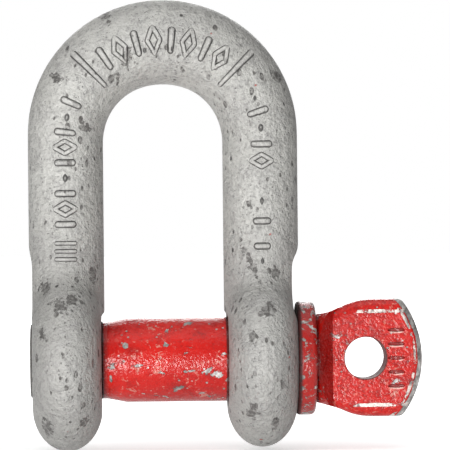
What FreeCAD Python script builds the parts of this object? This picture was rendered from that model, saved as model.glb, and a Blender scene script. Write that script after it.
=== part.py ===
"""Screw pin dee shackle, nominal size 22 mm (7/8 in), working load limit 6.5 t.

The shackle is two forgings. The bow is a bar bent to a D, flattened at its ends into two round ears:
one with a plain hole, one tapped. The screw pin passes through the plain ear, spans the jaw and screws
into the tapped ear until its collar seats on the plain ear. The pin's flat eye is the handle.

Frame: origin on the pin's axis, midway between the legs. +X runs along the pin towards its eye,
+Z from the pin to the crown of the bow, and -Y is the front. Millimetres.
"""

import FreeCAD
import Part

import math
import os

from FreeCAD import Placement, Rotation, Vector

# ---- bow ----------------------------------------------------------------------------------------
JAW_WIDTH = 36.0  # clear width between the legs
INSIDE_LENGTH = 70.3  # from the pin to the inside of the crown
LEG_DIAMETER = 22.6
CROWN_THICKNESS = 25.4  # the bar is thicker where it bears the load
CROWN_SQUARENESS = 2.1  # exponent of the crown's inner outline, 2 is a half circle
CROWN_LEAD_IN = 4.0  # length of straight leg that is drawn with the crown, so that they meet smoothly
CROWN_SECTIONS = 17

EAR_THICKNESS = 20.6
EAR_RIM_DEPTH = 13.5  # how far in from the ear's edge its faces start to round over
EAR_COINING = 0.3  # what the flat cheeks are pressed in by, each side
PLAIN_EAR_WALL = 13.0  # from an ear's hole to its edge
TAPPED_EAR_WALL = 14.55
EAR_BLEND = 10.0  # hollow fillet between a leg and its ear
CHEEK_EASE = 9.0  # length over which a flat cheek runs out onto the round leg
INNER_CHEEK_EASE = 2.2
INNER_CHEEK_RISE = 0.2  # how far above the pin the inner cheek starts to run out
PLAIN_EAR_WAIST = 1.3  # how far the plain ear's leg is pressed in past the cheek, above the collar
WAIST_SLOPE = 7.0  # length of the slope from that waist down to the cheek

# ---- screw pin ----------------------------------------------------------------------------------
PIN_DIAMETER = 25.4
PLAIN_HOLE_CLEARANCE = 0.9  # on the radius, between the shank and the plain ear's hole
HOLE_CHAMFER = 0.8

THREAD_UNDERCUT = 0.05  # on the radius, from the shank to the thread's crest
THREAD_PITCH = 3.175  # 8 threads to the inch
THREAD_DEPTH = 1.75
THREAD_CREST = 0.5  # width of the flat on top of the thread
THREAD_ROOT = 0.45  # width of the flat at the bottom of the groove
THREAD_CLEARANCE = 0.1  # on the radius, between the thread's crest and the tapped ear
BLANK_UNDERCUT = 1.1  # on the radius, from the shank to the plain stub that the thread is rolled on
BLANK_LENGTH = 1.8
STUB_TAPER_LENGTH = 5.7  # from the full shank down to the stub
END_PROJECTION = 0.7  # how far the pin's end stands out of the tapped ear
END_CHAMFER = 1.9

COLLAR_OVERHANG = 4.4  # how far the collar stands out past the shank
COLLAR_THICKNESS = 5.6
COLLAR_INNER_ROUND = 0.9
COLLAR_OUTER_ROUND = 1.6
COLLAR_GAP = 0.05  # between the collar and the plain ear's face

EYE_THICKNESS = 12.6
EYE_WIDTH = 35.3
EYE_LENGTH = 32.3  # from the collar to the tip of the eye
EYE_EDGE_ROUND = 3.2
EYE_HOLE_DIAMETER = 12.7
EYE_HOLE_FROM_COLLAR = 15.1
EYE_SHOULDER = 17.5  # from the collar to where the eye reaches its full width
EYE_CORNER_ROUND = 2.4
EYE_END_RADIUS = 28.0
SHOULDER_STEEPNESS = 0.15  # rise over run where the eye's shoulder leaves the neck
NECK_STEP = 3.9  # on the radius, from the collar's rim down to the neck
NECK_BEVEL_LENGTH = 5.2  # over which the round neck is bevelled down to the eye's thickness
NECK_FLARE = 0.75  # how much the neck widens for each millimetre towards the eye

# ---- what follows from them ---------------------------------------------------------------------
pin_radius = PIN_DIAMETER / 2
leg_radius = LEG_DIAMETER / 2
leg_x = JAW_WIDTH / 2 + leg_radius
inside_top = pin_radius + INSIDE_LENGTH
inner_centre_z = inside_top - JAW_WIDTH / 2
outer_radius = JAW_WIDTH / 2 + LEG_DIAMETER
outer_centre_z = inside_top + CROWN_THICKNESS - outer_radius
ear_half = EAR_THICKNESS / 2
cheek_out = leg_x + ear_half
cheek_in = leg_x - ear_half
thread_radius = pin_radius - THREAD_UNDERCUT
plain_hole_radius = pin_radius + PLAIN_HOLE_CLEARANCE
tapped_hole_radius = thread_radius + THREAD_CLEARANCE
plain_ear_radius = plain_hole_radius + PLAIN_EAR_WALL
tapped_ear_radius = tapped_hole_radius + TAPPED_EAR_WALL

collar_x = cheek_out + COLLAR_GAP
eye_x = collar_x + COLLAR_THICKNESS
collar_radius = pin_radius + COLLAR_OVERHANG
neck_radius = collar_radius - NECK_STEP
pin_end_x = -cheek_out - END_PROJECTION
thread_start_x = -cheek_in
stub_start_x = thread_start_x + BLANK_LENGTH
shank_start_x = stub_start_x + STUB_TAPER_LENGTH
eye_hole_x = eye_x + EYE_HOLE_FROM_COLLAR

along_x = Rotation(Vector(0, 1, 0), 90)


def line(a, b):
    return Part.LineSegment(a, b).toShape()


def arc(a, middle, b):
    return Part.Arc(a, middle, b).toShape()


def spline(poles):
    """A cubic curve pulled towards four poles, starting at the first and ending at the last."""
    curve = Part.BSplineCurve()
    curve.buildFromPoles(poles, False, 3)
    return curve.toShape()


def outline(edges):
    """A flat face bounded by edges, in whatever order they are given."""
    return Part.Face(Part.Wire(Part.__sortEdges__(edges)))


def cylinder(radius, x_from, x_to):
    """A round bar along X."""
    return Part.makeCylinder(radius, x_to - x_from, Vector(x_from, 0, 0), Vector(1, 0, 0))


def cone(radius_from, radius_to, x_from, x_to):
    """A tapered bar along X."""
    return Part.makeCone(radius_from, radius_to, x_to - x_from, Vector(x_from, 0, 0), Vector(1, 0, 0))


# ---- bow ----------------------------------------------------------------------------------------
def crown_section(turn):
    """The crown's round section where a ray from the inner centre stands at turn above +X."""
    c, s = math.cos(turn), math.sin(turn)
    power = CROWN_SQUARENESS
    inner = JAW_WIDTH / 2 / (abs(c) ** power + s**power) ** (1 / power)
    rise = outer_centre_z - inner_centre_z
    if s * outer_radius < rise * abs(c):
        outer = outer_radius / abs(c)
    else:
        outer = rise * s + math.sqrt(outer_radius**2 - (rise * c) ** 2)
    middle = (inner + outer) / 2
    centre = Vector(middle * c, 0, inner_centre_z + middle * s)
    return Part.Wire(Part.Circle(centre, Vector(-s, 0, c), (outer - inner) / 2).toShape())


def leg_section(side, z):
    centre = Vector(side * leg_x, 0, z)
    return Part.Wire(Part.Circle(centre, Vector(0, 0, side), leg_radius).toShape())


def make_bar():
    """The bent bar: a thickened crown on two straight round legs that end inside the ears."""
    leg_top = inner_centre_z - CROWN_LEAD_IN
    lead_in = (leg_top, inner_centre_z - CROWN_LEAD_IN / 2)
    last = CROWN_SECTIONS - 1
    sections = [leg_section(1, z) for z in lead_in]
    sections += [crown_section(math.pi * i / last) for i in range(CROWN_SECTIONS)]
    sections += [leg_section(-1, z) for z in reversed(lead_in)]
    bar = Part.makeLoft(sections, True, False)
    for side in (1, -1):
        bar = bar.fuse(Part.makeCylinder(leg_radius, leg_top, Vector(side * leg_x, 0, 0)))
    return bar


def make_ear(x, radius):
    """A round ear on the pin's axis, as forged: its cheeks round over into an elliptical rim."""
    half = ear_half + EAR_COINING
    centre = Vector(x, 0, radius - EAR_RIM_DEPTH)
    side = Vector(half, 0, 0)
    top = Vector(x, 0, radius)
    if EAR_RIM_DEPTH > half:
        rim = Part.Ellipse(top, centre + side, centre)
    else:
        rim = Part.Ellipse(centre + side, top, centre)
    over = [quarter(rim, centre + side, top), quarter(rim, top, centre - side)]
    foot_out = Vector(x + half, 0, 0)
    foot_in = Vector(x - half, 0, 0)
    sides = [line(centre + side, foot_out), line(foot_out, foot_in), line(foot_in, centre - side)]
    # the joint line of the turning is put at the foot, clear of the leg
    ear = outline(over + sides).revolve(Vector(0, 0, 0), Vector(1, 0, 0), 360)
    return ear.rotated(Vector(0, 0, 0), Vector(1, 0, 0), 180)


def quarter(ellipse, start, end):
    """The shorter way round an ellipse between two points on it."""
    low, high = sorted((ellipse.parameter(start), ellipse.parameter(end)))
    if high - low > math.pi:
        low, high = high, low + 2 * math.pi
    return Part.Edge(ellipse, low, high)


def side_trim(side, face_x, leg_face_x, clear_x, ear_radius, ease_from, ease, waist):
    """What is pressed away beside one cheek: flat over the ear, running out onto the round leg.

    face_x and leg_face_x are how far the cheek and the leg's side are from the middle of the jaw,
    and clear_x is somewhere past both of them. The run-out goes from ease_from up over ease.
    """
    foot = -ear_radius - 1
    flat_x = face_x - waist
    top = ease_from + ease

    def at(x, z):
        return Vector(side * x, 0, z)

    def s_curve(low, high):
        middle = (low[1] + high[1]) / 2
        return spline([at(*low), at(low[0], middle), at(high[0], middle), at(*high)])

    low_z = ear_radius / 2 - WAIST_SLOPE / 2
    high_z = ear_radius / 2 + WAIST_SLOPE / 2
    edges = [line(at(leg_face_x, top), at(clear_x, top)), line(at(clear_x, top), at(clear_x, foot))]
    edges.append(line(at(clear_x, foot), at(face_x, foot)))
    if waist:
        edges.append(line(at(face_x, foot), at(face_x, low_z)))
        edges.append(s_curve((face_x, low_z), (flat_x, high_z)))
        edges.append(line(at(flat_x, high_z), at(flat_x, ease_from)))
    else:
        edges.append(line(at(face_x, foot), at(face_x, ease_from)))
    edges.append(s_curve((flat_x, ease_from), (leg_face_x, top)))
    depth = 2 * ear_radius
    return outline(edges).extrude(Vector(0, 2 * depth, 0)).translated(Vector(0, -depth, 0))


def hole_cutter(radius, x_from, x_to):
    """A round hole along X with a chamfer at each mouth."""
    cutter = cylinder(radius, x_from - HOLE_CHAMFER, x_to + HOLE_CHAMFER)
    wide = radius + HOLE_CHAMFER
    cutter = cutter.fuse(cone(wide, radius, x_from, x_from + HOLE_CHAMFER))
    return cutter.fuse(cone(radius, wide, x_to - HOLE_CHAMFER, x_to))


def blend_ears(body):
    """Fillets the hollow edges where the legs run into the ears' rims."""
    edges = []
    for e in body.Edges:
        middle = e.valueAt((e.FirstParameter + e.LastParameter) / 2)
        beside_leg = abs(middle.y) > leg_radius / 2
        by_rim = pin_radius < middle.z < tapped_ear_radius
        if beside_leg and by_rim:
            edges.append(e)
    return body.makeFillet(EAR_BLEND, edges)


def make_bow():
    body = make_bar()
    for side, radius in ((1, plain_ear_radius), (-1, tapped_ear_radius)):
        body = body.fuse(make_ear(side * leg_x, radius))
    body = blend_ears(body)
    leg_out = leg_x + leg_radius
    leg_in = leg_x - leg_radius
    past = leg_out + EAR_THICKNESS
    inner_z = pin_radius + INNER_CHEEK_RISE
    for side, radius, waist in ((1, plain_ear_radius, PLAIN_EAR_WAIST), (-1, tapped_ear_radius, 0)):
        body = body.cut(side_trim(side, cheek_out, leg_out, past, radius, radius, CHEEK_EASE, waist))
        body = body.cut(side_trim(side, cheek_in, leg_in, 0, radius, inner_z, INNER_CHEEK_EASE, 0))
    body = body.cut(hole_cutter(plain_hole_radius, cheek_in, cheek_out))
    return body.cut(hole_cutter(tapped_hole_radius, -cheek_out, -cheek_in))


# ---- screw pin ----------------------------------------------------------------------------------
def make_shank():
    """The turned length of the pin: thread blank, stub, taper, shank and collar, as one profile."""
    r = thread_radius
    end = r - END_CHAMFER
    blank = pin_radius - BLANK_UNDERCUT
    inner = COLLAR_INNER_ROUND
    outer = COLLAR_OUTER_ROUND
    cut = 1 - math.sqrt(0.5)
    rim = collar_radius

    def at(x, radius):
        return Vector(x, 0, radius)

    corners = [
        at(collar_x, rim - inner),
        at(collar_x, pin_radius),
        at(shank_start_x, pin_radius),
        at(stub_start_x, blank),
        at(thread_start_x, blank),
        at(thread_start_x, r),
        at(pin_end_x + END_CHAMFER, r),
        at(pin_end_x, end),
        at(pin_end_x, 0),
        at(eye_x, 0),
        at(eye_x, rim - outer),
    ]
    edges = [line(p, q) for p, q in zip(corners, corners[1:])]
    outer_middle = at(eye_x - outer * cut, rim - outer * cut)
    inner_middle = at(collar_x + inner * cut, rim - inner * cut)
    edges.append(arc(corners[-1], outer_middle, at(eye_x - outer, rim)))
    edges.append(line(at(eye_x - outer, rim), at(collar_x + inner, rim)))
    edges.append(arc(at(collar_x + inner, rim), inner_middle, corners[0]))
    return outline(edges).revolve(Vector(0, 0, 0), Vector(1, 0, 0), 360)


def make_thread_groove():
    """The V groove between the threads: a trapezium carried along a right-handed helix.

    It starts off the pin's end and stops half a turn short of the stub. Its mouth is drawn a little
    outside the thread's crest, on the same slopes, so that it cuts cleanly.
    """
    x_from = pin_end_x - 2 * THREAD_PITCH
    height = thread_start_x - THREAD_PITCH / 2 - x_from
    helix = Part.makeHelix(THREAD_PITCH, height, thread_radius)
    helix.Placement = Placement(Vector(x_from, 0, 0), along_x)
    start = helix.Edges[0].valueAt(helix.Edges[0].FirstParameter)
    axis = Vector(x_from, 0, 0)
    out = (start - axis).normalize()
    above = THREAD_DEPTH / 4
    slope = (THREAD_PITCH - THREAD_CREST - THREAD_ROOT) / THREAD_DEPTH
    mouth = Vector((THREAD_PITCH - THREAD_CREST + slope * above) / 2, 0, 0)
    root = Vector(THREAD_ROOT / 2, 0, 0)
    high = axis + out * (thread_radius + above)
    deep = axis + out * (thread_radius - THREAD_DEPTH)
    profile = Part.makePolygon([high - mouth, deep - root, deep + root, high + mouth, high - mouth])
    groove = Part.Wire(helix.Edges).makePipeShell([profile], True, True)
    # the groove starts half a turn round from the joint line of the turned shank
    return groove.rotated(Vector(0, 0, 0), Vector(1, 0, 0), 180)


def eye_outline():
    """The eye from the front: shoulders that widen from the neck, straight sides and an arched end."""
    half = EYE_WIDTH / 2
    tip = Vector(eye_x + EYE_LENGTH, 0, 0)
    centre = tip - Vector(EYE_END_RADIUS, 0, 0)
    bend = EYE_CORNER_ROUND
    # the corner's round touches the straight side and the end's arc from inside
    reach = math.sqrt((EYE_END_RADIUS - bend) ** 2 - (half - bend) ** 2)
    bend_centre = centre + Vector(reach, 0, half - bend)
    side_end = bend_centre + Vector(0, 0, bend)
    end_touch = bend_centre + (bend_centre - centre).normalize() * bend
    bend_middle = bend_centre + ((side_end + end_touch) * 0.5 - bend_centre).normalize() * bend
    shoulder = Vector(eye_x + EYE_SHOULDER, 0, half)
    neck = Vector(eye_x, 0, neck_radius)
    reach_out = EYE_SHOULDER / 2
    pull = neck + Vector(reach_out, 0, reach_out * SHOULDER_STEEPNESS)
    rise = [neck, pull, shoulder - Vector(reach_out, 0, 0), shoulder]

    def low(v):
        return Vector(v.x, v.y, -v.z)

    edges = [
        spline(rise),
        line(shoulder, side_end),
        arc(side_end, bend_middle, end_touch),
        arc(end_touch, tip, low(end_touch)),
        arc(low(end_touch), low(bend_middle), low(side_end)),
        line(low(side_end), low(shoulder)),
        spline([low(p) for p in rise]),
        line(low(neck), neck),
    ]
    return outline(edges)


def make_eye():
    """The flat eye and its neck: the outline, thinned by two bevels and rounded at the neck."""
    plate = eye_outline().extrude(Vector(0, 2 * neck_radius, 0)).translated(Vector(0, -neck_radius, 0))
    edge_y = EYE_THICKNESS / 2
    bevel_x = eye_x + NECK_BEVEL_LENGTH
    far_x = eye_x + EYE_LENGTH + EYE_THICKNESS
    side = [Vector(eye_x, neck_radius, 0), Vector(bevel_x, edge_y, 0), Vector(far_x, edge_y, 0)]
    side += [Vector(p.x, -p.y, 0) for p in reversed(side)]
    profile = outline([line(p, q) for p, q in zip(side, side[1:] + side[:1])])
    thin = profile.extrude(Vector(0, 0, 2 * EYE_WIDTH)).translated(Vector(0, 0, -EYE_WIDTH))
    body = plate.common(thin)
    body = body.makeFillet(EYE_EDGE_ROUND, [e for e in body.Edges if is_eye_rim(e, edge_y)])
    flare = cone(neck_radius, neck_radius + NECK_FLARE * NECK_BEVEL_LENGTH, eye_x, bevel_x)
    return body.common(flare.fuse(cylinder(2 * EYE_WIDTH, bevel_x, far_x)))


def is_eye_rim(edge, edge_y):
    """Whether an edge runs round one of the eye's two faces."""
    ends = [v.Point for v in edge.Vertexes]
    on_face = all(abs(abs(p.y) - edge_y) < 1e-3 for p in ends)
    middle = edge.valueAt((edge.FirstParameter + edge.LastParameter) / 2)
    return on_face and middle.x > eye_x + NECK_BEVEL_LENGTH + 0.1


def make_screw_pin():
    body = make_shank().cut(make_thread_groove())
    body = body.fuse(make_eye())
    hole_radius = EYE_HOLE_DIAMETER / 2
    hole = Part.makeCylinder(hole_radius, 2 * EYE_WIDTH, Vector(eye_hole_x, -EYE_WIDTH, 0), Vector(0, 1, 0))
    return body.cut(hole)


NODES = {"bow": make_bow, "screw_pin": make_screw_pin}

os.makedirs("parts", exist_ok=True)
for name, make in NODES.items():
    shape = make().removeSplitter()
    solids = shape.Solids
    box = shape.optimalBoundingBox()
    print(
        name,
        f"solids {len(solids)} valid {shape.isValid()} volume {shape.Volume / 1000:.2f} cm3",
        f"x {box.XMin:.2f} {box.XMax:.2f} y {box.YMin:.2f} {box.YMax:.2f} z {box.ZMin:.2f} {box.ZMax:.2f}",
    )
    shape.exportStep(f"parts/{name}.step")
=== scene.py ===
"""Screw pin dee shackle on a pale studio floor: a galvanised bow and a red painted screw pin.

Metres throughout. The origin is on the pin's axis midway between the legs, +X runs to the pin's eye,
+Z to the crown and -Y is the front.
"""

import math

import bpy
import numpy as np
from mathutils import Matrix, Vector


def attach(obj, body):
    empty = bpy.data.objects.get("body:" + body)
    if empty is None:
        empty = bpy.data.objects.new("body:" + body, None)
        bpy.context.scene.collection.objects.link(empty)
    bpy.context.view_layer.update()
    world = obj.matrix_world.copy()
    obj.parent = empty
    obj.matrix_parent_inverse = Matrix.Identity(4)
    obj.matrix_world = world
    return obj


MM = 0.001

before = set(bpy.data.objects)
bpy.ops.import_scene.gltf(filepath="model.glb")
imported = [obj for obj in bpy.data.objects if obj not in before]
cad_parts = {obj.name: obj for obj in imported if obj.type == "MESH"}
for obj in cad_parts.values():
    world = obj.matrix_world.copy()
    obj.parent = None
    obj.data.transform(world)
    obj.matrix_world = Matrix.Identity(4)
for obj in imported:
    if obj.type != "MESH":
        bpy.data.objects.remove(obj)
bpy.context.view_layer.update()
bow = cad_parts["bow"]
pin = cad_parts["screw_pin"]

# ---- the bow's bar, in millimetres -----------------------------------------------------------
JAW = 36.0
BAR = 22.6
CROWN = 25.4
INSIDE_TOP = 83.0
SQUARENESS = 2.1
EAR_BOTTOM = 27.3
EAR_HOLE_R = 13.6
INNER_CHEEK = 19.0
INNER_Z = INSIDE_TOP - JAW / 2
OUTER_R = JAW / 2 + BAR
OUTER_Z = INSIDE_TOP + CROWN - OUTER_R
LEG_X = JAW / 2 + BAR / 2
BEND_R = 30.5  # radius that distances along the crown are measured on


# ---- shader language -------------------------------------------------------------------------
class Value:
    """One shader socket. Arithmetic on it adds Math nodes to its material."""

    def __init__(self, maker, socket):
        self.maker = maker
        self.socket = socket

    def _with(self, operation, other=None, flipped=False):
        first, second = (other, self) if flipped else (self, other)
        return self.maker.node("Math", {"operation": operation}, {0: first, 1: second})

    def __add__(self, other):
        return self._with("ADD", other)

    def __radd__(self, other):
        return self._with("ADD", other, True)

    def __sub__(self, other):
        return self._with("SUBTRACT", other)

    def __rsub__(self, other):
        return self._with("SUBTRACT", other, True)

    def __mul__(self, other):
        return self._with("MULTIPLY", other)

    def abs(self):
        return self._with("ABSOLUTE")

    def sqrt(self):
        return self._with("SQRT")

    def sine(self):
        return self._with("SINE")

    def least(self, other):
        return self._with("MINIMUM", other)

    def most(self, other):
        return self._with("MAXIMUM", other)

    def between(self, low, high):
        """0 below low, 1 above high and a smooth rise between; the other way round if low > high."""
        rising = low < high
        settings = {"interpolation_type": "SMOOTHSTEP", "clamp": True}
        ends = {1: low, 2: high, 3: 0.0, 4: 1.0} if rising else {1: high, 2: low, 3: 1.0, 4: 0.0}
        return self.maker.node("MapRange", settings, {0: self, **ends})


class Finish:
    """A material whose nodes are written as expressions."""

    def __init__(self, name):
        self.material = bpy.data.materials.new(name)
        self.material.use_nodes = True
        self.nodes = self.material.node_tree.nodes
        self.links = self.material.node_tree.links
        self.shader = self.nodes["Principled BSDF"]
        coordinates = self.nodes.new("ShaderNodeTexCoord")
        self.place = Value(self, coordinates.outputs["Object"])

    def put(self, socket, value):
        if isinstance(value, Value):
            self.links.new(value.socket, socket)
        elif value is not None:
            socket.default_value = value

    def node(self, kind, settings=None, inputs=None, output=0):
        made = self.nodes.new("ShaderNode" + kind)
        for name, value in (settings or {}).items():
            setattr(made, name, value)
        for name, value in (inputs or {}).items():
            self.put(made.inputs[name], value)
        return Value(self, made.outputs[output])

    def axes(self):
        """The place's x, y and z in millimetres."""
        scaled = self.node("VectorMath", {"operation": "SCALE"}, {0: self.place, "Scale": 1 / MM})
        split = self.nodes.new("ShaderNodeSeparateXYZ")
        self.put(split.inputs[0], scaled)
        return [Value(self, out) for out in split.outputs]

    def spot(self, seed, stretch):
        """The place times stretch along each axis and moved by seed; below 1, a pattern is longer there."""
        shift = (seed, -0.7 * seed, 1.3 * seed)
        return self.node("VectorMath", {"operation": "MULTIPLY_ADD"}, {0: self.place, 1: stretch, 2: shift})

    def noise(self, size, detail=2.0, rough=0.5, warp=0.0, seed=0.0, stretch=(1, 1, 1)):
        """Cloudy noise whose lumps are about size millimetres across."""
        inputs = {"Vector": self.spot(seed, stretch), "Scale": 0.5 / (size * MM), "Detail": detail}
        inputs.update({"Roughness": rough, "Distortion": warp})
        return self.node("TexNoise", {"noise_dimensions": "3D"}, inputs)

    def cells(self, size, seed=0.0, stretch=(1, 1, 1)):
        """Distance to the nearest of scattered points that are about size millimetres apart."""
        inputs = {"Vector": self.spot(seed, stretch), "Scale": 1 / (size * MM), "Randomness": 1.0}
        return self.node("TexVoronoi", {"feature": "F1"}, inputs)

    def mix(self, share, low, high):
        """The colour low where share is 0 and high where it is 1."""
        return self.node("Mix", {"data_type": "RGBA"}, {0: share, 6: low, 7: high}, 2)

    def ramp(self, value, stops):
        """A colour read off a ramp of (place, colour) stops."""
        made = self.nodes.new("ShaderNodeValToRGB")
        points = made.color_ramp.elements
        while len(points) < len(stops):
            points.new(0.5)
        for point, (place, colour) in zip(points, stops):
            point.position = place
            point.color = colour
        self.put(made.inputs[0], value)
        return Value(self, made.outputs[0])

    def finish(self, colour, roughness, metallic, height, depth, **fixed):
        """Joins colour, roughness, metal share and surface height, where 1 stands depth metres up."""
        self.put(self.shader.inputs["Base Color"], colour)
        self.put(self.shader.inputs["Roughness"], roughness)
        self.put(self.shader.inputs["Metallic"], metallic)
        for name, value in fixed.items():
            self.shader.inputs[name.replace("_", " ")].default_value = value
        bump = self.node("Bump", None, {"Strength": 1.0, "Distance": depth, "Height": height})
        self.put(self.shader.inputs["Normal"], bump)
        return self.material


def grey(level, warm=0.0):
    """A grey that is redder and less blue by the share warm."""
    return (level * (1 + warm), level, level * (1 - warm), 1.0)


def nearest_oval(x, z, ovals):
    """Squared distance from the middle of the nearest oval, 1 on its rim.

    Each oval is its middle's x and z, its half length along z, its half width along x and its turn.
    """
    nearest = None
    for middle_x, middle_z, long, wide, turn in ovals:
        c, s = math.cos(turn), math.sin(turn)
        dx = x - middle_x
        dz = z - middle_z
        u = dx * (c / wide) + dz * (s / wide)
        v = dz * (c / long) - dx * (s / long)
        reach = u * u + v * v
        nearest = reach if nearest is None else nearest.least(reach)
    return nearest


# ---- galvanised steel ------------------------------------------------------------------------
# where the zinc is scuffed on the front of the bow: x, z, half length and half width in mm, turn in radians
SCUFFS = [
    (-16.8, 103.2, 3.2, 2.4, 0.3),
    (-31.8, 84.8, 2.6, 2.0, 0.8),
    (-10.4, 91.1, 4.2, 2.6, -0.5),
    (-14.3, 84.8, 2.0, 2.6, 0.0),
    (-22.8, 69.7, 2.0, 2.8, 0.2),
    (-35.5, 22.2, 3.0, 3.0, 0.1),
    (-31.8, 17.1, 4.2, 2.6, 0.7),
    (-27.3, 18.6, 2.6, 2.4, -0.6),
    (-21.3, 25.8, 2.6, 1.6, 0.3),
    (-36.4, 8.6, 2.8, 1.8, 0.0),
    (-34.9, -19.4, 4.4, 2.6, 0.2),
    (-24.3, -17.1, 2.6, 1.8, 0.0),
    (34.3, 84.8, 2.8, 2.2, 0.4),
    (26.3, 28.2, 8.0, 1.5, 0.45),
    (33.7, 26.1, 3.0, 1.8, 0.3),
    (30.2, 15.2, 3.0, 2.2, -0.4),
    (25.5, 7.1, 2.8, 2.2, 0.2),
    (34.6, -6.5, 2.8, 1.6, 0.0),
    (25.5, -14.9, 3.0, 2.2, 0.4),
    (32.5, -18.5, 3.2, 1.8, -0.2),
]


ZINC_DULL = (0.395, 0.39, 0.365, 1.0)
ZINC = (0.455, 0.45, 0.425, 1.0)
ZINC_BRIGHT = (0.51, 0.505, 0.478, 1.0)


def zinc(name, stroke=False):
    """Hot-dip zinc: pale matt grey, mottled and grainy, with darker scuffs, pits and a few red specks.

    On a raised stroke, the piece's own "reach" attribute, which is 0 along the stroke's middle and 1 at
    its rim, darkens the foot with painted shade and lightens the top with a painted highlight.
    """
    f = Finish(name)
    x, y, z = f.axes()
    clouds = f.noise(22, 3, 0.55, 0.3)
    mottle = f.noise(4.2, 4, 0.62, 0.4, 0.31)
    grain = f.noise(0.9, 3, 0.7, 0.0, 0.77)
    peel = f.noise(1.7, 3, 0.6, 0.5, 0.23)
    creases = (f.noise(1.9, 2, 0.55, 1.2, 0.61) - 0.5).abs().between(0.035, 0.0)
    speck = f.noise(0.6, 2, 0.6, 0.0, 0.19)
    sparkle = f.noise(0.5, 1, 0.5, 0.0, 0.13)
    wander = f.noise(2.0, 4, 0.7, 0.8, 0.52) - 0.5
    fray = f.noise(0.8, 2, 0.6, 0.0, 0.64) - 0.5
    tall = (1, 1, 0.6)

    front = y.between(3.0, -2.0)
    low = z.between(42.0, 30.0)
    ragged = wander * 2.6 + fray * 2.2
    scuffed = nearest_oval(x, z, SCUFFS).sqrt() * 1.4 + wander * 3.2 + fray * 2.4
    scuff = scuffed.between(0.95, 0.6) * front
    spots = (f.cells(4.2, 0.2, tall) + ragged * 0.05).between(0.2, 0.16)
    spots = spots * (f.noise(8, 2, 0.5, 0.0, 0.4) + low * 0.085).between(0.52, 0.55)
    small = (f.cells(2.4, 0.6, tall) + ragged * 0.05).between(0.2, 0.13)
    small = small * (f.noise(6, 2, 0.5, 0.0, 0.1) + low * 0.04).between(0.51, 0.55)
    scuff = scuff.most(spots).most(small)
    scuff = scuff * (0.55 + speck.between(0.4, 0.56) * 0.45)
    nicks = f.cells(5.0, 0.45, tall).between(0.12, 0.06) * f.noise(11, 2, 0.5, 0.0, 0.8).between(0.45, 0.53)
    pepper = (f.cells(1.1, 0.35) + fray * 0.2).between(0.26, 0.1)
    pepper = pepper * f.noise(3, 2, 0.5, 0.0, 0.55).between(0.44, 0.6)
    smear = (f.cells(9.0, 0.83) + fray * 0.08).between(0.06, 0.03) * front
    bloom = f.noise(2.6, 4, 0.7, 0.9, 0.97).between(0.55, 0.7)
    bore_gap_shade = (y * y + z * z).sqrt().between(EAR_HOLE_R + 1.3, EAR_HOLE_R + 0.1)

    base = f.ramp(clouds, [(0.30, ZINC_DULL), (0.5, ZINC), (0.72, ZINC_BRIGHT)])
    base = f.mix(mottle.between(0.38, 0.66) * 0.35, base, grey(0.34, 0.025))
    base = f.mix(peel.between(0.5, 0.7) * 0.18, base, grey(0.26, 0.03))
    base = f.mix(grain.between(0.5, 0.68) * 0.36, base, grey(0.22, 0.025))
    base = f.mix(speck.between(0.56, 0.66) * 0.42, base, grey(0.15, 0.03))
    base = f.mix(sparkle.between(0.55, 0.8) * 0.22, base, grey(0.70, 0.02))
    base = f.mix(bloom * 0.2, base, grey(0.56, 0.03))
    base = f.mix(creases * mottle.between(0.42, 0.6) * 0.35, base, grey(0.15, 0.03))
    base = f.mix(low * 0.38, base, grey(0.27, 0.03))
    base = f.mix(scuff * 0.92, base, grey(0.095, 0.06))
    base = f.mix(pepper * 0.65, base, grey(0.11, 0.03))
    base = f.mix(nicks * 0.85, base, grey(0.04, 0.05))
    base = f.mix(smear * 0.8, base, (0.34, 0.05, 0.035, 1))
    # painted shade: a dark ring on the zinc round the mouths of the ear holes, in the gap round the pin
    base = f.mix(bore_gap_shade * 0.9, base, grey(0.035, 0.08))
    if stroke:
        reach = f.node("Attribute", {"attribute_name": "reach"}, None, 2)
        # painted shade at each raised stroke's foot, then a painted highlight along its top
        foot_shade = reach.between(0.36, 0.56) * reach.between(0.95, 0.7)
        base = f.mix(foot_shade * (0.6 + mottle * 0.5), base, grey(0.05, 0.04))
        base = f.mix(reach.between(0.3, 0.1) * 0.25, base, grey(0.55, 0.03))
    roughness = 0.44 + mottle * 0.16 - scuff * 0.05 + pepper * 0.1
    metallic = 0.12 + scuff * 0.2
    height = peel * 0.4 + mottle * 0.4 + grain * 0.5 + clouds * 0.4 - creases * 0.05
    height = height + speck * 0.34 - scuff * 0.2 - nicks * 0.4 - pepper * 0.12
    return f.finish(base, roughness, metallic, height, 0.0012, IOR=1.5)


# ---- red paint -------------------------------------------------------------------------------
# larger chips in the pin's paint, given like the scuffs
CHIPS = [
    (-11.9, 4.7, 1.3, 0.8, 0.5),
    (0.2, 5.0, 1.0, 0.8, 0.0),
    (6.8, 10.9, 0.7, 1.4, 0.2),
    (3.5, -8.6, 0.8, 1.7, 0.3),
    (12.6, -2.9, 0.7, 1.9, 0.4),
    (15.9, -4.2, 1.3, 2.0, -0.3),
    (18.8, -5.3, 1.5, 1.2, 0.4),
    (17.4, 2.0, 0.8, 1.1, 0.2),
    (-8.4, -1.2, 0.5, 1.8, 0.1),
    (-1.0, -3.4, 0.6, 1.6, -0.2),
    (7.6, -3.0, 0.5, 2.2, 0.1),
    (-15.8, -1.6, 0.8, 0.6, 0.0),
    (-16.2, -5.2, 0.9, 0.5, 0.2),
    (0.6, 9.2, 0.5, 0.7, 0.0),
    (11.2, -9.8, 0.5, 1.2, 0.1),
]
PIN_R = 12.7
COLLAR_START = 39.65
EYE_START = 45.25
NECK_END = 50.45
EYE_TIP = 77.55
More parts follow.
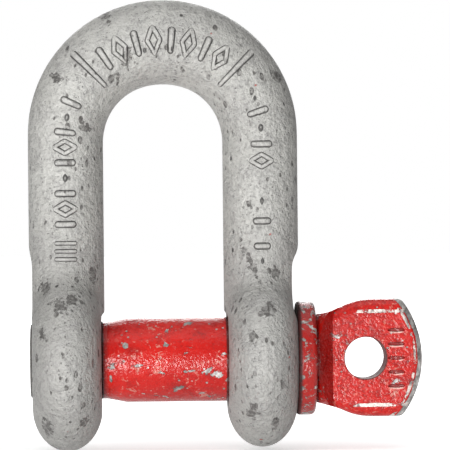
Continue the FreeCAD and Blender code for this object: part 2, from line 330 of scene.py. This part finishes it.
EYE_END_R = 28.0
EYE_HALF = 17.65  # half the eye's height
FACE_Y = 6.3  # half the eye's thickness
HOLE_X = 60.35
HOLE_R = 6.35
PUNCH_PITCH = 4.2  # from one punched stroke to the next, along z
PUNCH_X = 69.6  # middle of the punched row


def red_paint(name):
    """Glossy red paint on the forged pin: lumpy, chipped to grey metal, and worn off the eye's edges."""
    f = Finish(name)
    x, y, z = f.axes()
    clouds = f.noise(16, 3, 0.55, 0.2, 0.12)
    lumps = f.noise(3.4, 4, 0.6, 0.3, 0.47)
    grain = f.noise(0.9, 3, 0.65, 0.0, 0.9)
    fine = f.noise(0.4, 1, 0.5, 0.0, 0.25)
    ragged = (f.noise(2.2, 4, 0.7, 0.5, 0.66) - 0.5) * 1.0
    radius = (y * y + z * z).sqrt()

    on_eye = x.between(EYE_START + 2, EYE_START + 5)
    on_collar = x.between(COLLAR_START - 0.45, COLLAR_START + 0.15)
    on_collar = on_collar * x.between(EYE_START + 1.2, EYE_START - 0.4)
    in_thread = x.between(-INNER_CHEEK + 0.4, -INNER_CHEEK - 0.2)
    side = z.abs()
    from_centre = x - (EYE_TIP - EYE_END_R)
    end_reach = (from_centre * from_centre + z * z).sqrt() - EYE_END_R
    long_edge = side.between(EYE_HALF - 4.5, EYE_HALF - 3.9) * side.between(EYE_HALF - 2.7, EYE_HALF - 3.2)
    long_edge = long_edge * x.between(53.0, 60.0)
    end_edge = end_reach.between(-3.3, -2.7) * end_reach.between(-1.7, -2.2)
    worn_line = long_edge.most(end_edge) * on_eye
    rim = end_reach.between(-2.1, -1.3) * on_eye
    face = y.abs().between(FACE_Y - 1.7, FACE_Y - 0.3) * on_eye

    peeling = f.noise(3.6, 4, 0.66, 0.5, 0.58, (0.8, 1, 1.2)) + ragged * 0.2
    chips = peeling.between(0.645, 0.675)
    collar_chips = f.noise(1.5, 4, 0.72, 0.6, 0.21) + ragged * 0.35 + z * 0.001
    collar_chips = collar_chips.between(0.545, 0.585) * on_collar
    knocks = nearest_oval(x, z, CHIPS).sqrt() * 1.2 + ragged * 3.2 + (grain - 0.5) * 3.6
    knocks = knocks.between(1.0, 0.75) * y.between(2.0, -1.0)
    rim_worn = (rim * 0.55 + f.noise(3.2, 4, 0.66, 0.3, 0.87) + ragged * 0.25).between(0.8, 0.9)
    line_worn = worn_line * 0.5 + f.noise(2.4, 4, 0.66, 0.3, 0.37) + ragged * 0.4 + (grain - 0.5) * 0.5
    line_worn = line_worn.between(0.86, 0.94)
    flecks = (f.cells(2.1, 0.3, (0.8, 1, 1)) + ragged * 0.1).between(0.17, 0.12)
    flecks = flecks * f.noise(6, 2, 0.5, 0.0, 0.7).between(0.46, 0.56)
    stipple = (f.noise(0.62, 2, 0.7, 0.0, 0.15) + face * 0.03).between(0.64, 0.73)
    bare = chips.most(collar_chips).most(rim_worn).most(flecks * 0.9)
    bare = bare.most(in_thread).most(line_worn).most(knocks)
    chip_edge = peeling.between(0.60, 0.65) * (1 - bare)
    flakes = (f.noise(1.1, 3, 0.7, 0.8, 0.43) + ragged * 0.15).between(0.6, 0.64)
    flakes = flakes * f.noise(7, 2, 0.5, 0.0, 0.29).between(0.47, 0.56)

    reds = [(0.3, (0.42, 0.004, 0.002, 1)), (0.5, (0.52, 0.006, 0.003, 1)), (0.7, (0.60, 0.01, 0.005, 1))]
    paint = f.ramp(clouds, reds)
    paint = f.mix(lumps.between(0.5, 0.72) * 0.55, paint, (0.25, 0.003, 0.002, 1))
    paint = f.mix(grain.between(0.5, 0.8) * 0.3, paint, (0.68, 0.03, 0.02, 1))
    paint = f.mix(grain.between(0.46, 0.3) * 0.45, paint, (0.22, 0.003, 0.002, 1))
    paint = f.mix(on_collar * (0.35 + lumps * 0.4), paint, (0.24, 0.008, 0.006, 1))
    paint = f.mix(face * fine.between(0.5, 0.36) * 0.5, paint, (0.20, 0.004, 0.003, 1))
    paint = f.mix(stipple * (0.25 + face * 0.25), paint, (0.80, 0.28, 0.21, 1))
    paint = f.mix(chip_edge * 0.5, paint, (0.22, 0.01, 0.01, 1))
    paint = f.mix(flakes * 0.6, paint, (0.62, 0.30, 0.24, 1))
    metal = f.ramp(grain, [(0.36, grey(0.16, 0.05)), (0.5, grey(0.34, 0.05)), (0.64, grey(0.60, 0.04))])
    metal = f.mix(line_worn * grain.between(0.42, 0.6) * 0.8, metal, (0.80, 0.66, 0.60, 1))
    metal = f.mix(in_thread * 0.8, metal, grey(0.16, 0.06))
    metal = f.mix(in_thread * radius.between(11.9, 11.2) * 0.75, metal, grey(0.045, 0.1))
    metal = f.mix(on_collar * 0.25, metal, grey(0.2, 0.08))
    colour = f.mix(bare, paint, metal)
    # the punched row near the eye's end: five level strokes filled with painted shade, each with a painted
    # highlight on a lip below it in places
    wave = z * (2 * math.pi / PUNCH_PITCH) + math.pi / 2
    tips = (x - PUNCH_X) * (x - PUNCH_X) * 0.045  # narrows the strokes towards both ends
    in_row = x.between(PUNCH_X - 2.8, PUNCH_X - 2.3) * x.between(PUNCH_X + 2.7, PUNCH_X + 2.2)
    in_row = in_row * side.between(PUNCH_PITCH * 2.5, PUNCH_PITCH * 2.5 - 0.4) * y.between(-5.0, -6.0)
    stamped = (wave.sine() - tips).between(0.62, 0.84) * in_row
    lip_highlight = ((wave + 0.95).sine() - tips).between(0.72, 0.9) * (1 - stamped) * in_row
    lip_highlight = lip_highlight * (lumps + ragged * 0.3).between(0.42, 0.5)
    # painted shade in the punched strokes, then a painted highlight on the lip below each
    colour = f.mix(stamped * 0.72, colour, (0.13, 0.005, 0.004, 1))
    colour = f.mix(lip_highlight * 0.75, colour, (0.80, 0.52, 0.46, 1))
    # darker in the neck's hollow, and painted shade in the gap where the shank meets the mouths of the ears'
    # holes
    hollow = x.between(EYE_START - 0.2, EYE_START + 0.4) * x.between(NECK_END + 0.45, NECK_END - 0.25)
    colour = f.mix(hollow * (0.3 + lumps * 0.3), colour, (0.16, 0.004, 0.003, 1))
    mouth_gap_shade = (x.abs() - (INNER_CHEEK - 0.1)).abs().between(0.75, 0.35)
    mouth_gap_shade = mouth_gap_shade * radius.between(PIN_R + 0.2, PIN_R + 0.05)
    # painted shade: a dark ring on the shank in the gap at each ear hole's mouth
    colour = f.mix(mouth_gap_shade * 0.9, colour, (0.03, 0.006, 0.005, 1))
    # painted shade down the wall of the eye's hole
    hole_wall_shade = ((x - HOLE_X) * (x - HOLE_X) + z * z).sqrt().between(HOLE_R + 0.4, HOLE_R + 0.1)
    colour = f.mix(hole_wall_shade * 0.85, colour, (0.075, 0.012, 0.009, 1))
    # painted shade in the gap where the collar beds on the ear
    collar_gap_shade = x.between(COLLAR_START + 1.55, COLLAR_START + 0.65) * radius.between(PIN_R - 0.3, PIN_R + 0.2)
    collar_gap_shade = collar_gap_shade * x.between(COLLAR_START - 0.45, COLLAR_START - 0.15)
    colour = f.mix(collar_gap_shade * 0.92, colour, (0.022, 0.004, 0.004, 1))
    roughness = 0.17 + lumps * 0.16 + bare * 0.25 + face * 0.03 + (collar_gap_shade + hole_wall_shade) * 0.4
    metallic = bare * 0.35
    height = lumps * 0.38 + grain * 0.34 + clouds * 0.4 + fine * 0.16 - bare * 0.2 - stamped * 0.8
    return f.finish(colour, roughness, metallic, height, 0.0008, IOR=1.45, Specular_IOR_Level=0.5)


def dress(node, material):
    """Puts a material on a carried-over CAD node."""
    slots = node.material_slots
    if slots:
        for s in slots:
            s.material = material
    else:
        node.data.materials.append(material)


dress(bow, zinc("galvanised zinc"))
dress(pin, red_paint("chipped red paint"))


# ---- raised forging marks --------------------------------------------------------------------
def bar_surface(s, turn, lift):
    """Points on the bow's bar, in metres.

    s is the distance in mm along the bar from the crown's top, negative to the left; turn is the angle
    round the bar from its front line, positive outwards; lift is the height above the surface in mm.
    On the crown the bar's middle is halfway between its inner outline, |c|^p + |s|^p = 1 with
    p = SQUARENESS scaled to half the jaw, and the circle of radius OUTER_R about OUTER_Z. On a leg it
    is a straight line.
    """
    quarter = BEND_R * math.pi / 2
    on_leg = np.abs(s) > quarter
    along = np.clip(s, -quarter, quarter)
    ray = math.pi / 2 - along / BEND_R
    c, n = np.cos(ray), np.sin(ray)
    inner = JAW / 2 / (np.abs(c) ** SQUARENESS + np.abs(n) ** SQUARENESS) ** (1 / SQUARENESS)
    rise = OUTER_Z - INNER_Z
    straight = OUTER_R / np.maximum(np.abs(c), 1e-6)
    arched = rise * n + np.sqrt(np.maximum(OUTER_R**2 - (rise * c) ** 2, 0))
    outer = np.where(n * OUTER_R < rise * np.abs(c), straight, arched)
    middle = (inner + outer) / 2
    radius = (outer - inner) / 2 + lift
    reach = middle + radius * np.sin(turn)
    x = reach * c
    z = INNER_Z + reach * n
    y = -radius * np.cos(turn)
    leg_r = BAR / 2 + lift
    side = np.sign(s)
    leg_x = side * (LEG_X + leg_r * np.sin(turn))
    leg_z = INNER_Z - (np.abs(s) - quarter)
    x = np.where(on_leg, leg_x, x)
    y = np.where(on_leg, -leg_r * np.cos(turn), y)
    z = np.where(on_leg, leg_z, z)
    return np.stack([x, y, z], -1) * MM


def grid_faces(rows, columns):
    """Four-cornered faces over a grid of points that is stored row by row."""
    first = (np.arange(rows - 1)[:, None] * columns + np.arange(columns - 1)[None, :]).ravel()
    return np.stack([first, first + columns, first + columns + 1, first + 1], -1)


def ridge(points, width, height, closed):
    """A raised stroke on the bar, as a grid of points, its faces and how far out each point is.

    points are (s, across) in mm on the unrolled bar. reach is the distance from the stroke's middle line
    over half its width, rounded off past its ends. The stroke is level up to a reach of 0.34, falls as a
    cosine to a thin skirt at 0.68, and the skirt sinks into the bar at 1.
    """
    line = np.array(points, float)
    if closed:
        line = np.vstack([line, line[:1]])
    step = np.linalg.norm(np.diff(line, axis=0), axis=1)
    run = np.concatenate([[0], np.cumsum(step)])
    count = max(int(run[-1] / 0.22), 10)
    at = np.linspace(0, run[-1], count + 1)
    path = np.stack([np.interp(at, run, line[:, i]) for i in (0, 1)], -1)
    heading = np.gradient(path, axis=0)
    if closed:
        heading[0] = heading[-1] = path[1] - path[-2]
    heading /= np.linalg.norm(heading, axis=1, keepdims=True)
    sideways = np.stack([-heading[:, 1], heading[:, 0]], -1)
    t = np.linspace(-1, 1, 19)
    half = width / 2
    flat = path[:, None, :] + sideways[:, None, :] * (t * half)[None, :, None]
    past_end = np.clip(1 - np.minimum(at, run[-1] - at) / half, 0, 1) * (0 if closed else 1)
    reach = np.sqrt(t[None, :] ** 2 + past_end[:, None] ** 2)
    fall = (1 + np.cos(np.pi * np.clip((reach - 0.34) / 0.34, 0, 1))) / 2
    skirt = 0.05 - 0.25 * np.clip((reach - 0.68) / 0.32, 0, 1)
    lift = np.maximum(height * fall, 0.0) + skirt
    grid = bar_surface(flat[..., 0], flat[..., 1] / (BAR / 2), lift)
    return grid.reshape(-1, 3), grid_faces(*grid.shape[:2]), reach.ravel()


def raised_marks(name, strokes, body, material):
    """All the strokes of one row of marks as one piece."""
    points, faces, reaches, start = [], [], [], 0
    for line, width, height, closed in strokes:
        p, q, reach = ridge(line, width, height, closed)
        points.append(p)
        faces.append(q + start)
        reaches.append(reach)
        start += len(p)
    mesh = bpy.data.meshes.new(name)
    mesh.from_pydata(np.concatenate(points).tolist(), [], np.concatenate(faces).tolist())
    mesh.materials.append(material)
    mesh.polygons.foreach_set("use_smooth", np.ones(len(mesh.polygons), bool))
    mesh.attributes.new("reach", "FLOAT", "POINT").data.foreach_set("value", np.concatenate(reaches))
    mesh.update()
    piece = bpy.data.objects.new(name, mesh)
    bpy.context.scene.collection.objects.link(piece)
    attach(piece, body)


STROKE = 3.0  # width of a stroke at its foot, in mm
RAISE = 0.85  # its height
# a copy of the zinc with painted shade at the strokes' feet and a painted highlight along their tops
struck_shade_and_highlight = zinc("galvanised zinc on raised marks", True)


def tally(start, pattern, pitch, tall):
    """A row of plain marks along the bar, pitch mm apart: | a bar, o a pad and ^ a lozenge, tall mm high."""
    strokes = []
    half = tall / 2
    for i, mark in enumerate(pattern):
        s = start + i * pitch
        if mark == "|":
            strokes.append(([(s, -half), (s, half)], STROKE, RAISE, False))
        elif mark == "o":
            strokes.append(([(s, -half * 0.35), (s, half * 0.35)], STROKE * 1.35, RAISE, False))
        elif mark == "^":
            tips = [(s - 1.9, 0.0), (s, half * 0.86), (s + 1.9, 0.0), (s, -half * 0.86)]
            strokes.append((tips, STROKE * 0.72, RAISE * 0.9, True))
    return strokes


quarter_bend = BEND_R * math.pi / 2  # from the crown's top to where a leg starts
left = tally(-quarter_bend - 24.0, "|^|o|^|o|", 4.6, 7.4)
# three thin bars at the row's foot
for place in (-29.6, -32.0, -34.4):
    left.append(([(-quarter_bend + place, -3.7), (-quarter_bend + place, 3.7)], 1.9, RAISE * 0.8, False))
crown = tally(-18.2, "|^|^|^|^", 5.2, 8.2)
# a long bar across the bend at each end of the crown's row, this many radians from the top
for place in (-0.78, 0.78):
    crown.append(([(BEND_R * place, -7.0), (BEND_R * place, 8.5)], 2.6, RAISE, False))
right = tally(quarter_bend - 9.5, "|o|^", 5.0, 7.4) + tally(quarter_bend + 17.5, "o|", 6.0, 6.4)
right += tally(quarter_bend + 31.0, "|o|", 4.6, 6.0)
raised_marks("left_leg_marks", left, "bow", struck_shade_and_highlight)
raised_marks("crown_marks", crown, "bow", struck_shade_and_highlight)
raised_marks("right_leg_marks", right, "bow", struck_shade_and_highlight)


# ---- studio ----------------------------------------------------------------------------------
def paper(name):
    """Pale floor paper with a barely visible tooth."""
    f = Finish(name)
    tooth = f.noise(2.0, 3, 0.6)
    colour = f.mix(tooth.between(0.3, 0.7), grey(0.90), grey(0.93))
    x, y, z = f.axes()
    away = (x * x + y * y).sqrt().between(40.0, 260.0)
    # painted light: the paper glows, at 0.42 within 40 mm of the middle rising to 0.8 from 260 mm out
    f.put(f.shader.inputs["Emission Color"], f.mix(away, grey(0.42), grey(0.80)))
    return f.finish(colour, 0.85 + tooth * 0.1, 0.0, tooth, 0.00002, Emission_Strength=1.0)


def floor_sheet(size, z):
    """A level square of floor, size metres across, as a grid of points."""
    t = np.linspace(-size / 2, size / 2, 9)
    gx, gy = np.meshgrid(t, t, indexing="ij")
    points = np.stack([gx, gy, np.full_like(gx, z)], -1).reshape(-1, 3)
    faces = grid_faces(9, 9)
    mesh = bpy.data.meshes.new("floor")
    mesh.from_pydata(points.tolist(), [], faces.tolist())
    mesh.materials.append(paper("floor paper with painted glow"))
    sheet = bpy.data.objects.new("floor", mesh)
    bpy.context.scene.collection.objects.link(sheet)
    sheet.visible_diffuse = False  # the paper throws no light back up under the shackle


def soft_light(name, turn, lift, distance, size, watts):
    """A round soft lamp aimed at the object, turn degrees right of the front and lift degrees up."""
    lamp = bpy.data.lights.new(name, "AREA")
    lamp.shape = "DISK"
    lamp.size = size
    lamp.energy = watts
    lamp_object = bpy.data.objects.new(name, lamp)
    target = Vector((0.01, 0.0, 0.04))
    turn, lift = math.radians(turn), math.radians(lift)
    out = Vector((math.sin(turn) * math.cos(lift), -math.cos(turn) * math.cos(lift), math.sin(lift)))
    lamp_object.location = target + distance * out
    lamp_object.rotation_euler = (-out).to_track_quat("-Z", "Y").to_euler()
    bpy.context.scene.collection.objects.link(lamp_object)
    return lamp_object


floor_sheet(12.0, -EAR_BOTTOM * MM)
low = soft_light("low front", -16, -12, 1.3, 0.34, 15.5)
soft_light("left front", -55, 18, 1.3, 0.8, 2.4)
soft_light("right front", 30, 15, 1.3, 0.8, 0.8)
soft_light("overhead", 0, 80, 1.1, 1.2, 3.4)
soft_light("back", 180, 20, 1.3, 0.8, 6.5)
# the low lamp shines up past the front of the table, so only the shackle itself shades it
shades = bpy.data.collections.new("what shades the low lamp")
shades.objects.link(bow)
shades.objects.link(pin)
low.light_linking.blocker_collection = shades


AMBIENT = 0.40
FLAG = 0.05


def studio_walls():
    """White walls with dark flags hung at both sides, which give the round bars their darker sides.

    The walls look plain white to the eye. What they send the object falls from AMBIENT in front, behind,
    above and below to FLAG at the sides.
    """
    world = bpy.data.worlds.new("studio")
    world.use_nodes = True
    tree = world.node_tree
    seen = tree.nodes["Background"]
    seen.inputs["Strength"].default_value = 1.0
    seen.inputs["Color"].default_value = (1, 1, 1, 1)
    where = tree.nodes.new("ShaderNodeTexCoord")
    split = tree.nodes.new("ShaderNodeSeparateXYZ")
    sideways = tree.nodes.new("ShaderNodeMath")
    sideways.operation = "ABSOLUTE"
    level = tree.nodes.new("ShaderNodeMapRange")
    level.interpolation_type = "SMOOTHSTEP"
    # from 0.45 to 0.95 of the way round to a side, the walls go from AMBIENT to FLAG
    for i, value in ((1, 0.45), (2, 0.95), (3, AMBIENT), (4, FLAG)):
        level.inputs[i].default_value = value
    dim = tree.nodes.new("ShaderNodeBackground")
    dim.inputs["Color"].default_value = (1, 1, 1, 1)
    share = tree.nodes.new("ShaderNodeMixShader")
    ray = tree.nodes.new("ShaderNodeLightPath")
    tree.links.new(where.outputs["Generated"], split.inputs[0])
    tree.links.new(split.outputs["X"], sideways.inputs[0])
    tree.links.new(sideways.outputs[0], level.inputs[0])
    tree.links.new(level.outputs[0], dim.inputs["Strength"])
    tree.links.new(ray.outputs["Is Camera Ray"], share.inputs[0])
    tree.links.new(dim.outputs[0], share.inputs[1])
    tree.links.new(seen.outputs[0], share.inputs[2])
    tree.links.new(share.outputs[0], tree.nodes["World Output"].inputs["Surface"])
    bpy.context.scene.world = world


studio_walls()
bpy.context.scene.view_settings.view_transform = "Standard"

camera = bpy.data.cameras.new("camera")
camera.sensor_width = 36.0
camera.lens = 251.7
camera.clip_start = 0.01
camera.clip_end = 30.0
camera_object = bpy.data.objects.new("camera", camera)
bpy.context.scene.collection.objects.link(camera_object)
AIM = Vector((18.6, 0.0, 40.4)) * MM
AZIMUTH = math.radians(-2.0)
ROLL = math.radians(0.55)
DISTANCE = 0.95
camera_object.location = AIM + DISTANCE * Vector((math.sin(AZIMUTH), -math.cos(AZIMUTH), 0.0))
camera_object.rotation_euler = (math.pi / 2, ROLL, AZIMUTH)
bpy.context.scene.camera = camera_object
